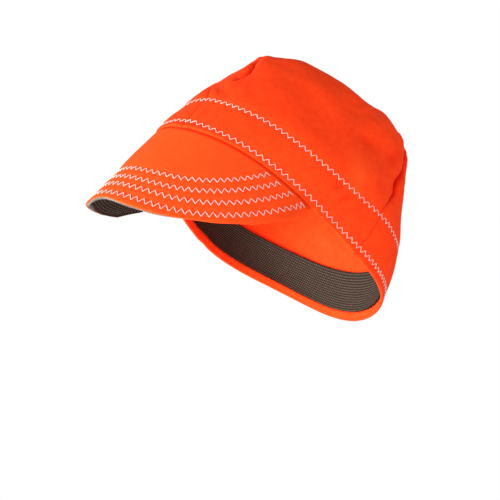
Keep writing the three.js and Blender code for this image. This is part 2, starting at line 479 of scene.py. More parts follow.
@dataclass
class CrownForm(Surface):
    """The crown of the worn cap: its sections from rim to top, its folds, its seams and its stitched rows."""

    sections: tuple[Section, ...] = (
        Section(0, 19.5, 120, 86, 78.5, 0.03),
        Section(20, 18.5, 113.5, 76, 83.5, 0.027),
        Section(41, 17.5, 107, 60.5, 81.5, 0.024),
        Section(62, 16.5, 96.5, 45.5, 76, 0.018),
        Section(80, 15.5, 88.5, 32.5, 68, 0.01),
        Section(94, 15, 77, 22, 55.5, 0.005),
        Section(103, 14, 52.5, 14, 40.5, 0),
        Section(108.5, 13, 26.5, 7, 21.5, 0),
        Section(110.5, 12.5, 0, 0, 0, 0),
    )
    main_folds: tuple[Fold, ...] = (
        Fold(((-9, 2.6, 0), (-7, 4.3, 0)), 8),
        Fold(((-1, 2.2, 1.2), (11, 1.8, 1.2)), 6),
        Fold(((60, 3.9, 2), (72, 5.2, 2)), 8),
        Fold(((72, 3.1, 1.6), (84, 3.2, 1.6)), 10),
        Fold(((75, 2, -1.2), (86, 1.8, -1.2)), 11),
    )
    fine_folds: tuple[Fold, ...] = (
        Fold(((2, 2.4, -0.2), (-3.5, 2.34, -0.35), (-3, 2.05, -0.3)), 2),
        Fold(((-1.5, 2.2, 0.1), (4, 2.03, 0.25), (11.5, 1.8, 0.1)), 2.6),
        Fold(((59, 3.82, -0.4), (64, 4.3, -0.8), (69, 4.95, -0.8)), 3),
        Fold(((63, 3.7, 0.3), (69, 4.2, 0.8), (75, 4.8, 0.6)), 4),
        # A third value paints shade into the dent; a negative one paints light.
        Fold(((67, 3, 0.4), (72.5, 3.15, 0.9), (77, 3.25, 0.4)), 4.5, 0.3),
        Fold(((83, 3.1, 0.3), (87, 3.4, 1.4), (89.5, 3.8, 0.9), (92, 4.2, 0.3)), 4.5, 0.5),
        Fold(((77, 2.75, -0.5), (80.5, 2.35, -1.4), (82, 1.9, -0.5)), 7),
        Fold(((69, 0.8, 0.2), (70, 1.05, 0.9), (71.5, 1.25, 0.3)), 2.4, 0.4),
        Fold(((74, 0.7, 0.2), (75, 1, 0.9), (76, 1.25, 0.3)), 2.4, 0.4),
        Fold(((80.5, 0.8, 0.2), (81.5, 1.05, 0.7), (82, 1.25, 0.3)), 2.6, 0.2),
        # Painted light on a faint bulge.
        Fold(((72, 2.1, -0.15), (75, 1.8, -0.2), (76, 1.5, -0.1)), 7, -0.7),
        Fold(((84, 0.4, -0.3), (84, 0.75, -0.4)), 5),
        Fold(((-60, 2.6, 0.4), (-70, 3.4, 1.3), (-74, 4.3, 0.6)), 9),
        Fold(((-30, 4.4, 0.3), (-38, 3.7, 0.9), (-50, 3.2, 0.3)), 8),
        Fold(((140, 1.8, 0.4), (150, 2.6, 1.2), (156, 3.6, 0.4)), 9),
        Fold(((-150, 2, -0.5), (-142, 3, -1), (-135, 3.9, -0.3)), 9),
        Fold(((30, 5.3, 0.2), (40, 5.9, 0.7), (60, 6.2, 0.2)), 8),
        Fold(((134, 0.9, 0), (129, 1.6, 0.2), (120, 2.4, 0.9), (115, 3.1, 1.6), (114.5, 3.5, 0.9)), 10),
        Fold(((112.5, 3.75, -0.3), (112.5, 4.1, -1.4), (110.5, 4.42, -2.6), (108.5, 4.65, -1.6)), 3.5),
        Fold(((117, 3.3, 0.3), (117.5, 3.55, 0.7), (117, 3.75, 0.3)), 4),
        Fold(((80, 5.4, -0.5), (79, 5.7, -0.9), (76, 5.85, -0.4)), 6),
        Fold(((71, 5.95, 0.5), (66, 6.03, 0.8), (60, 6.1, 0.4)), 4),
        Fold(((91.5, 5.2, 1.4), (88, 5.5, 0.9), (85, 5.7, 0.2)), 5),
        Fold(((97, 4.42, -0.7), (95.5, 4.66, -1.4), (93, 4.88, -0.7)), 3),
        Fold(((68, 5.75, 0.4), (62, 5.5, 1.5), (55, 5.4, 1.4), (46, 5.5, 0.6)), 9),
        Fold(((32, 5.4, -0.3), (20, 5.16, -0.6), (14, 5.1, -0.3)), 9),
        Fold(((8, 5, 0.4), (2, 4.8, 0.5)), 6),
        Fold(((-1, 4.56, -1.1), (-8, 4.5, -1.1)), 3.5),
        Fold(((-11.5, 4.15, 1.4), (-14, 3.86, 3.2), (-16, 3.66, 2), (-18, 3.4, 0.6)), 4.5),
        Fold(((-19, 4.1, 0.9), (-23, 3.9, 1.3), (-26, 3.7, 0.4)), 5),
        Fold(((-9, 3.9, 0.7), (-9.5, 3.7, 1.2), (-11, 3.5, 0.6)), 3.5),
        Fold(((-10, 2.42, -0.5), (-10, 2.1, -0.5)), 4),
        Fold(((-13, 1.9, 0.3), (-15.5, 1.69, 0.9), (-18, 1.45, 0.6), (-15, 1.05, 0.5)), 5),
        Fold(((-20, 0, 0.15), (-29, 0, 0.5), (-45, 0, 0.5)), 3),
        Fold(((-22, 0.5, -0.5), (-36, 0.45, -0.6)), 5),
        Fold(((-15, 0.75, -0.8), (-17, 0.4, -0.8)), 7),
    )
    pitch: float = math.radians(41)
    wave_two: float = 2.5
    wave_four: float = -1.8
    wave_fades_by: float = 4
    per_section: float = 20.8
    seam_dip: float = 0.5
    seam_width: float = 4
    seams: tuple[Seam, ...] = (FRONT_SEAM, LEFT_SEAM, RIGHT_SEAM, BACK_SEAM)
    seam_pucker: float = 0.16
    seam_pucker_pitch: float = 7.5
    seam_pucker_beside: float = 3
    seam_pucker_rise: tuple[float, float] = (1.4, 2.2)
    allowance: float = 9.0
    allowance_edge: float = 0.8
    allowance_lift: float = -0.3
    seam_edge: float = 1.6
    slack_rise: tuple[float, float] = (0.8, 2.6)
    slack_end: tuple[float, float] = (5.5, 7.5)
    sways: tuple[tuple[float, int, float, float], ...] = (
        (0.55, 3, 1.3, 0.4), (0.44, 5, -2.1, 2.0), (0.275, 9, 3.3, 4.1),
    )
    crown_rows: tuple[CrownRow, ...] = (
        CrownRow(
            "lower_crown_stitches", 5.5, 3, 5.05, 3.0,
            (
                (-180, 4.5), (-120, 4.8), (-60, 4.2), (-30, 4.4), (-8, 5.8), (4, 6.5), (14, 5.4), (24, 4.6),
                (40, 3.8), (60, 3.9), (68, 4.1), (78, 3.8), (86, 4.3), (94, 5.1), (118, 5.4), (150, 4.8),
                (180, 4.5),
            ),
        ),
        CrownRow(
            "upper_crown_stitches", 180, 2, 4.7, 2.85,
            (
                (-180, 28.5), (-120, 29), (-60, 26.5), (-24, 25.4), (-11, 27.6), (-1, 29.9), (9, 29.8),
                (20, 29.1), (34, 28.4), (48, 27.2), (60, 26.8), (72, 27.4), (84, 28.5), (90, 29.7),
                (97, 30.2), (112, 29.4), (126, 30), (150, 29), (180, 28.5),
            ),
        ),
    )
    swell: float = -0.7
    swell_height: float = 36
    swell_width: float = 7
    hem_roll: float = -0.3
    hem_roll_height: float = 1.8
    hem_roll_width: float = 1.4

    def __post_init__(self) -> None:
        """Pads the table of sections past both of its ends, and lays out the stitched rows."""
        table = np.array([[s.height, s.seam, s.front, s.back, s.side, s.flat] for s in self.sections])
        over_the_top = np.array([1, 1, -1, -1, -1, 1])
        self.table = np.vstack([2 * table[0] - table[1], table, table[-2] * over_the_top])
        self.top = len(self.sections) - 1
        self.rows: list[ZigzagRow] = []
        samples = np.linspace(0, 2 * np.pi, RING_SAMPLES)
        for row in self.crown_rows:
            around = math.radians(row.start) + samples
            level = row.height(around) / self.per_section
            stitches = ZigzagRow(row.name, self, around, level, row.pitch, row.width, True, row.overlap)
            self.rows.append(stitches)

    def plain(self, around: Array, along: Array) -> Array:
        """Points of the crown's outer face before its folds.

        Args:
            around: Angles round the crown in radians.
            along: Levels on the crown, counted in sections.

        Returns:
            The points in millimetres.
        """
        around, along = np.broadcast_arrays(np.asarray(around, float), np.asarray(along, float))
        height, seam, front, back, side, flat = np.moveaxis(catmull_rom(self.table, along), -1, 0)
        reach = np.where(np.cos(around) > 0, front, back)
        rounding = 1 - flat * np.sin(2 * around) ** 2
        wave = self.wave_two * np.cos(2 * around) + self.wave_four * np.cos(4 * around)
        height = height + wave * np.maximum(0, 1 - along / self.wave_fades_by)
        return np.stack(
            [side * rounding * np.sin(around), seam - reach * rounding * np.cos(around), height], axis=-1
        )

    def face_normal(self, around: Array, along: Array) -> Array:
        """Outward directions of the plain crown, kept clear of its two ends.

        Args:
            around: Angles round the crown in radians.
            along: Levels on the crown, counted in sections.

        Returns:
            Directions of length one.
        """
        rise = self.along_step
        above = np.minimum(along + rise, self.top - rise)
        below = np.maximum(above - 2 * rise, 0)
        across = self.plain(around + self.turn_step, above) - self.plain(around - self.turn_step, above)
        up = self.plain(around, above) - self.plain(around, below)
        return unit(np.cross(across, up))

    def fold_depth(self, points: Array, fold: Fold) -> Array:
        """How far one fold dents the cloth at some points of the plain crown.

        Args:
            points: Points in millimetres.
            fold: The fold.

        Returns:
            Depths in millimetres.
        """
        azimuths, levels, depths = np.array(fold.places, float).T
        line = self.plain(np.radians(azimuths), levels)
        deepest = np.zeros(points.shape[:-1])
        for start, end, depth_start, depth_end in zip(line, line[1:], depths, depths[1:]):
            along = end - start
            share = np.clip(((points - start) @ along) / (along @ along), 0, 1)
            away = np.linalg.norm(points - (start + share[..., None] * along), axis=-1)
            depth = (depth_start + (depth_end - depth_start) * share) * bell(away, fold.width)
            deepest = np.where(np.abs(depth) > np.abs(deepest), depth, deepest)
        return deepest

    def over_allowance(self, beside: Array) -> Array:
        """1 over a seam's turned allowance, by the distance from the seam towards it, and 0 past it."""
        return 1 - smooth_step(beside, self.allowance - self.allowance_edge, self.allowance)

    def relief(self, around: Array, along: Array) -> Array:
        """How far the cloth lies inside the plain form, from folds, seams, stitches and its own slackness.

        Args:
            around: Azimuths in radians.
            along: Section levels.

        Returns:
            Depths in millimetres.
        """
        points = self.plain(around, along)
        depth = sum(self.fold_depth(points, fold) for fold in self.main_folds + self.fine_folds)
        across, _ = self.slopes(around, along)
        per_radian = np.linalg.norm(across, axis=-1)
        pucker = np.cos(2 * np.pi * along * self.per_section / self.seam_pucker_pitch)
        pucker = self.seam_pucker * pucker * smooth_step(along, *self.seam_pucker_rise)
        for seam in self.seams:
            away = wrapped(around - seam.azimuth(along)) * per_radian
            depth = depth + self.seam_dip * bell(away, self.seam_width) + seam.crease(along, away)
            depth = depth + pucker * bell(np.abs(away) - self.seam_pucker_beside, self.seam_pucker_beside)
            beside = away * seam.allowance_side
            lifted = self.over_allowance(beside) * smooth_step(beside, 0, self.seam_edge)
            depth = depth + self.allowance_lift * lifted
        height = along * self.per_section
        for row, zigzag in zip(self.crown_rows, self.rows):
            depth = depth + zigzag.draw_in(around, height - row.height(around))
        depth = depth + self.swell * bell(height - self.swell_height, self.swell_width)
        depth = depth + self.hem_roll * bell(height - self.hem_roll_height, self.hem_roll_width)
        slack = smooth_step(along, *self.slack_rise) * (1 - smooth_step(along, *self.slack_end))
        for height, turns, tilt, phase in self.sways:
            depth = depth + slack * height * np.sin(turns * around + tilt * along + phase)
        return depth

    def fold_shade(self, around: Array, along: Array) -> Array:
        """Painted shade and light: 1 where shade is painted deepest in a crease, -1 where light is painted.

        Args:
            around: Azimuths in radians.
            along: Section levels.

        Returns:
            The shares.
        """
        across, _ = self.slopes(around, along)
        per_radian = np.linalg.norm(across, axis=-1)
        shade = np.zeros_like(per_radian)
        # Painted shade from the seams' creases and from the fine folds that carry one; painted light where a
        # fold's value is negative.
        for seam in self.seams:
            shade = np.maximum(shade, seam.shade(along, wrapped(around - seam.azimuth(along)) * per_radian))
        points = self.plain(around, along)
        for fold in self.fine_folds:
            if fold.shade:
                deepest = max((depth for _, _, depth in fold.places), key=abs)
                kept = fold.shade * self.fold_depth(points, fold) / deepest
                shade = np.where(np.abs(kept) > np.abs(shade), kept, shade)
        return np.clip(shade, -1, 1)

    def point(self, around: Array, along: Array, depth: Array | float = 0.0) -> Array:
        """Points of the crown, at a depth below its outer face."""
        inward = self.relief(around, along) + depth
        return self.plain(around, along) - self.face_normal(around, along) * inward[..., None]

    def worn(self, points: Array) -> Array:
        """Points of the crown's own frame, pitched as the cap is worn and in metres."""
        cos, sin = math.cos(self.pitch), math.sin(self.pitch)
        x, y, z = np.moveaxis(points, -1, 0)
        return np.stack([x, y * cos + z * sin, z * cos - y * sin], axis=-1) * MM

    def turned(self, vectors: Array) -> Array:
        """Directions of the crown's own frame, pitched as the cap is worn."""
        return self.worn(vectors) / MM


@dataclass
class PeakForm(Surface):
    """The peak: rulings that hang from under the hem, with a length and a flare by azimuth."""

    crown: CrownForm
    azimuths: tuple[float, ...] = (0, 14, 28, 43, 55, 63, 69)
    lengths: tuple[float, ...] = (71.9, 73.3, 67.7, 56.8, 42.2, 25.4, 1.5)
    flares: tuple[float, ...] = (11.5, 10, 9, 11.5, 17, 25, 30)
    lean: float = 1.3
    droops: tuple[tuple[float, float], ...] = (
        (0, 0), (12, -0.3), (26, -0.6), (35, -0.3), (42, 0.6), (48, 0.3), (54, 0), (60, 0.4), (66, 0.6),
        (74, 0.6),
    )
    droop_middle: float = math.radians(-20)
    droop_spread: float = math.radians(17)
    corner: float = 1.5
    trims: tuple[tuple[float, float, float], ...] = ((-0.9, 13, 9), (1.2, -54, 7))
    inset: float = 2.7
    free_inset: float = 0.9
    far_free_inset: float = 0.0
    far_reach: tuple[float, float] = (math.radians(-8), math.radians(-26))
    puffs_from: float = -0.9
    puffs_by: float = 2.6
    side_fade: tuple[float, float] = (8.0, 24.0)
    peak_rows: tuple[PeakRow, ...] = (
        PeakRow(43.1, 51, 3.0, 4.5, 3.3),
        PeakRow(51.4, 56, 3.0, 4.65, 3.55),
        PeakRow(58.6, 61.3, 3.2, 4.8, 3.7),
        PeakRow(67.5, 67, 3.2, 5.05, 4.1),
    )
    row_clear: float = 2.3
    edge_puff: float = -0.28
    edge_puff_inset: float = 3
    edge_puff_width: float = 2.2
    edge_puff_fade: tuple[float, float] = (6, 20)
    along_step = 0.3

    def __post_init__(self) -> None:
        """Pads the table of rulings past both of its ends, and lays out the quilted rows."""
        table = np.stack([self.lengths, self.flares], axis=1)
        self.table = np.vstack([table[1], table, table[-1]])
        self.rows: list[ZigzagRow] = []
        for number, row in enumerate(self.peak_rows, 1):
            samples = np.radians(np.linspace(-row.end, row.end, PEAK_SAMPLES))
            distance = row.depth * (1 - np.abs(np.degrees(samples) / row.end) ** row.power)
            shown = distance > self.row_clear
            name = f"peak_stitches_{number}"
            self.rows.append(ZigzagRow(name, self, samples[shown], distance[shown], row.pitch, row.width))

    def ruling(self, around: Array) -> tuple[Array, Array]:
        """The peak's straight lines out of the crown's rim.

        Args:
            around: Angles round the crown in radians.

        Returns:
            Their lengths in millimetres and their flare in radians.
        """
        place = np.interp(np.abs(np.degrees(around)), self.azimuths, np.arange(len(self.azimuths)))
        length, flare = np.moveaxis(catmull_rom(self.table, place), -1, 0)
        length = length + self.lean * np.sin(np.pi * np.degrees(around) / self.azimuths[-1])
        for by, middle, spread in self.trims:
            length = length + by * bell(np.degrees(around) - middle, spread)
        return np.maximum(length, self.corner), np.radians(flare)

    def base(self, around: Array, along: Array, depth: Array | float) -> Array:
        """Points of the peak at a depth below its upper face, before its quilting.

        Args:
            around: Azimuths in radians.
            along: Distances from the rim, negative in the tuck under the hem.
            depth: Depths in millimetres.

        Returns:
            The points, in millimetres in the crown's frame.
        """
        around, along, depth = np.broadcast_arrays(np.asarray(around, float), along, depth)
        level = np.maximum(-along, 0) / self.crown.per_section
        normal = self.crown.face_normal(around, level)
        length, flare = self.ruling(around)
        eased = smooth_step(along, self.puffs_from, self.puffs_by) * smooth_step(length, *self.side_fade)
        far = smooth_step(around, *self.far_reach)
        free = self.free_inset + (self.far_free_inset - self.free_inset) * far
        inset = self.inset + (free - self.inset) * eased
        points = self.crown.plain(around, level) - normal * (inset + depth)[..., None]
        outward = self.crown.face_normal(around, np.zeros_like(level)).copy()
        outward[..., 2] = 0
        down = np.maximum(along, 0)
        points = points + unit(outward) * (down * np.sin(flare))[..., None]
        points[..., 2] -= down * np.cos(flare)
        return points

    def plain(self, around: Array, along: Array) -> Array:
        """Points of the peak's upper face before its quilting."""
        return self.base(around, along, 0.0)

    def face_normal(self, around: Array, along: Array) -> Array:
        """Outward directions of the peak's upper face."""
        across, down = self.slopes(around, along)
        return unit(np.cross(down, across))

    def quilting(self, around: Array, along: Array) -> Array:
        """How far the quilted rows draw the peak in, and how far the cloth puffs between them.

        Args:
            around: Azimuths in radians.
            along: Distances from the rim.

        Returns:
            Depths in millimetres.
        """
        across, _ = self.slopes(around, along)
        per_radian = np.linalg.norm(across, axis=-1)
        depth = np.zeros(np.shape(along))
        for row in self.rows:
            centre = np.interp(around, row.around, row.along)
            slope = np.interp(around, row.around, np.gradient(row.along, row.around)) / per_radian
            offset = (along - centre) / np.sqrt(1 + slope**2)
            depth = depth + row.draw_in(around, offset)
        length, _ = self.ruling(around)
        droop = smooth_curve(self.droops, 1, along)
        depth = depth + droop * bell(around - self.droop_middle, self.droop_spread)
        edge = bell(along - length + self.edge_puff_inset, self.edge_puff_width)
        return depth + self.edge_puff * edge * smooth_step(length, *self.edge_puff_fade)

    def point(self, around: Array, along: Array, depth: Array | float = 0.0) -> Array:
        """Points of the quilted peak, at a depth below its upper face."""
        return self.base(around, along, self.quilting(around, along) + depth)


@dataclass
class Wall:
    """A closed wall of cloth between the points of its outer and its inner face, with its flat pattern."""

    outer: Array
    inner: Array
    pattern: Array
    is_ring: bool = False
    sharp_angle: float = math.radians(60)

    def faces(self, grids: Array) -> Array:
        """Corners of every face, wound outwards where the outer grid's rows run up and its columns right.

        Args:
            grids: Corner numbers, as [face][row][column].

        Returns:
            Corner numbers, as [face number][corner].
        """
        outer, inner = grids
        sheets = [outer, inner[::-1], np.stack([inner[0], outer[0]]), np.stack([outer[-1], inner[-1]])]
        if not self.is_ring:
            sheets.append(np.stack([inner[:, 0], outer[:, 0]], axis=1))
            sheets.append(np.stack([outer[:, -1], inner[:, -1]], axis=1))
        quads = [
            np.stack([s[:-1, :-1], s[:-1, 1:], s[1:, 1:], s[1:, :-1]], axis=-1).reshape(-1, 4) for s in sheets
        ]
        return np.concatenate(quads)

    def piece(self, name: str, crown: CrownForm, material: bpy.types.Material) -> bpy.types.Object:
        """Makes the wall a Blender object.

        Args:
            name: The piece's name.
            crown: The crown, whose pitch the wall takes.
            material: The finish.

        Returns:
            The object.
        """
        rows, columns = self.outer.shape[:2]
        points = crown.worn(np.stack([self.outer, self.inner])).reshape(-1, 3)
        corners = np.arange(2 * rows * columns).reshape(2, rows, columns)
        if self.is_ring:
            corners = np.concatenate([corners, corners[:, :, :1]], axis=2)
        places = np.arange(2 * rows * corners.shape[2]).reshape(corners.shape)
        faces, uv_faces = self.faces(corners), self.faces(places)
        if self.volume(points, faces) < 0:
            faces, uv_faces = faces[:, ::-1], uv_faces[:, ::-1]
        mesh = bpy.data.meshes.new(name)
        mesh.from_pydata(points.tolist(), [], faces.tolist())
        mesh.polygons.foreach_set("use_smooth", np.ones(len(faces), bool))
        flat = np.concatenate([self.pattern.reshape(-1, 2)] * 2) * MM
        layer = mesh.uv_layers.new(name="pattern")
        layer.data.foreach_set("uv", flat[uv_faces.reshape(-1)].reshape(-1))
        mesh.set_sharp_from_angle(angle=self.sharp_angle)
        mesh.materials.append(material)
        mesh.validate()
        piece = bpy.data.objects.new(name, mesh)
        bpy.context.scene.collection.objects.link(piece)
        return piece

    @staticmethod
    def volume(points: Array, faces: Array) -> float:
        """The signed volume inside the faces."""
        a, b, c, d = (points[faces[:, corner]] for corner in range(4))
        return float((a * np.cross(b, c)).sum() + (a * np.cross(c, d)).sum())


def dressed(piece: bpy.types.Object, slot: Slot, *nodes: str) -> None:
    """Seats a finished piece on the body, in place of its solids.

    Args:
        piece: The finished piece.
        slot: The material slot that its finish comes from. Not used.
        nodes: The solids that it stands for.
    """
    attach(piece, BODY)
    if nodes:
        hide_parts(*nodes)
    piece.data.calc_loop_triangles()
    triangles = len(piece.data.loop_triangles)
    LOG.info("%s: %d triangles, in place of %s", piece.name, triangles, ", ".join(nodes) or "nothing")


@dataclass
class Gore:
    """One quarter of the crown: its name, the solid that it stands for, and the seams at its two edges."""

    name: str
    node: str
    first_seam: Seam
    second_seam: Seam


@dataclass
class Crown:
    """The four gores, each a wall of cloth with a turned hem, rounded seam edges and allowances inside."""

    form: CrownForm
    wall: float = 1.2
    fold: float = 1.0
    hem_height: float = 5.0
    hem_step: float = 0.6
    end_margin: float = 0.012
    row_step: float = 1.15
    fine_step: float = 0.72
    fine_spans: tuple[tuple[float, float], ...] = ((0, 9.6), (23.6, 33.4))
    column_step: float = 1.2
    edge_radius: float = 0.8
    lap: float = 0.001
    edge_columns: tuple[float, ...] = (0.0, 0.07, 0.22, 0.45, 0.75, 1.15, 1.7, 2.5, 3.5)
    edge_parts: int = 5
    allowance_wall: float = 1.0
    thinnest: float = 0.05
    hem_turns: tuple[float, ...] = (6, 25, 45, 65, 90)
    width_samples: int = 161
    trial_columns: int = 40
    trial_rows: int = 12
    gores: tuple[Gore, ...] = (
        Gore("front_left_gore", "crown_front_left", FRONT_SEAM, LEFT_SEAM),
        Gore("front_right_gore", "crown_front_right", RIGHT_SEAM, FRONT_SEAM),
        Gore("back_left_gore", "crown_back_left", LEFT_SEAM, BACK_SEAM),
        Gore("back_right_gore", "crown_back_right", BACK_SEAM, RIGHT_SEAM),
    )

    def profile(self) -> tuple[Array, Array, Array]:
        """The gore's rows from its hem to its top.

        Returns:
            The section level of each row, and the depths there of its outer and its inner face.
        """
        radius = (self.wall + self.fold) / 2
        turns = np.radians(self.hem_turns)
        round_heights = radius * (1 - np.cos(turns))
        heights = [radius + self.fine_step]
        end = (self.form.top - self.end_margin) * self.form.per_section
        while heights[-1] < end - self.row_step:
            is_fine = any(low < heights[-1] < high for low, high in self.fine_spans)
            heights.append(heights[-1] + (self.fine_step if is_fine else self.row_step))
        heights = np.array(heights[:-1] + [end])
        heights = np.sort(np.append(heights, [self.hem_height, self.hem_height + self.hem_step]))
        inside = np.where(heights <= self.hem_height, self.wall + self.fold, self.wall)
        outer = np.concatenate([radius * (1 - np.sin(turns)), np.zeros(len(heights))])
        inner = np.concatenate([radius * (1 + np.sin(turns)), inside])
        return np.concatenate([round_heights, heights]) / self.form.per_section, outer, inner

    def columns(self, first: float, last: float, level: float, count: int) -> tuple[Array, Array, float]:
        """Places across a gore at one level, close together at its seams.

        Args:
            first: The azimuth of its first seam.
            last: The azimuth of its second seam.
            level: The section level.
            count: How many columns.

        Returns:
            Their azimuths, their distances from the first seam, and the gore's width there.
        """
        around = np.linspace(first, last, self.width_samples)
        lengths = arc_lengths(self.form.plain(around, np.full_like(around, level)))
        width = lengths[-1]
        edge = np.array(self.edge_columns)
        edge = edge * min(1.0, width / (self.edge_parts * edge[-1]))
        middle = np.linspace(edge[-1], width - edge[-1], count - 2 * len(edge) + 2)[1:-1]
        places = np.concatenate([edge, middle, width - edge[::-1]])
        return np.interp(places, lengths, around), places, width

    def gore(self, gore: Gore, material: bpy.types.Material) -> bpy.types.Object:
        """Builds one gore.

        Args:
            gore: Its seams and its name.
            material: Its finish.

        Returns:
            The gore's object.
        """
        levels, outer_depth, inner_depth = self.profile()
        first, last = gore.first_seam.azimuth(levels) - self.lap, gore.second_seam.azimuth(levels) + self.lap
        last = np.where(last < first, last + 2 * np.pi, last)
        spans = list(zip(first, last, levels))
        widest = max(self.columns(*span, self.trial_columns)[2] for span in spans[:: self.trial_rows])
        count = 2 * len(self.edge_columns) + round(widest / self.column_step)
        rows = [self.columns(*span, count) for span in spans]
        around, across, width = (np.array(part) for part in zip(*rows))
        width = width[:, None]
        level = np.broadcast_to(levels[:, None], around.shape)
        edge = np.minimum(across, width - across)
        near = np.clip(1 - edge / self.edge_radius, 0, 1)
        drop = self.edge_radius * (1 - np.sqrt(1 - near**2))
        first_share = self.form.over_allowance(across) * (gore.first_seam.allowance_side > 0)
        second_share = self.form.over_allowance(width - across) * (gore.second_seam.allowance_side < 0)
        in_hem = level * self.form.per_section <= self.hem_height + self.hem_step
        thicker = np.where(in_hem, 0, self.allowance_wall * np.maximum(first_share, second_share))
        inside = inner_depth[:, None] + thicker
        outside = np.minimum(outer_depth[:, None] + drop, inside - self.thinnest)
        relief = self.form.relief(around, level)
        plain, normal = self.form.plain(around, level), self.form.face_normal(around, level)
        outer = plain - normal * (relief + outside)[..., None]
        inner = plain - normal * (relief + inside)[..., None]
        pattern = np.stack([across - width / 2, level * self.form.per_section], axis=-1)
        piece = Wall(outer, inner, pattern).piece(gore.name, self.form, material)
        # Painted light and shade, kept on the points for the orange cloth's colour.
        painted_shading = self.form.fold_shade(around, level).astype(np.float32).reshape(-1)
        attribute = piece.data.attributes.new("fold_shade", "FLOAT", "POINT")
        attribute.data.foreach_set("value", np.tile(painted_shading, 2))
        return piece

    def build(self, finishes: dict[Slot, bpy.types.Material]) -> None:
        """Builds and dresses the four gores."""
        for gore in self.gores:
            dressed(self.gore(gore, finishes[Slot.ORANGE]), Slot.ORANGE, gore.node)


@dataclass
class Sweatband:
    """The ribbed band inside the rim, from the turned hem up to the upper row of stitches."""

    form: CrownForm
    bottom: float = 5.6
    top: float = 30.0
    depth: float = 2.55
    wall: float = 1.1
    rib_pitch: float = 1.6
    rib_depth: float = 0.16
    rows_per_rib: int = 5
    column_step: float = 3.0

    def build(self, finishes: dict[Slot, bpy.types.Material]) -> None:
        """Builds and dresses the band.

        Args:
            finishes: The material of each slot.
        """
        ribs = round((self.top - self.bottom) / self.rib_pitch)
        heights = np.linspace(self.bottom, self.top, ribs * self.rows_per_rib + 1)
        samples = np.linspace(0, 2 * np.pi, RING_SAMPLES)
        bottom = np.full(RING_SAMPLES, self.bottom / self.form.per_section)
        length = arc_lengths(self.form.plain(samples, bottom))[-1]
        count = round(length / self.column_step)
        around, height = np.meshgrid(np.linspace(0, 2 * np.pi, count + 1), heights)
        level = height / self.form.per_section
        rib = (1 - np.cos(2 * np.pi * (height - self.bottom) / self.rib_pitch)) / 2
        inner = self.form.point(around, level, self.depth + self.wall - self.rib_depth * rib)
        outer = self.form.point(around, level, self.depth)
        pattern = np.stack([around / (2 * np.pi) * length, height - self.bottom], axis=-1)
        wall = Wall(outer[:, :-1], inner[:, :-1], pattern, is_ring=True)
        dressed(wall.piece("sweatband_cloth", self.form, finishes[Slot.DARK]), Slot.DARK, "sweatband")


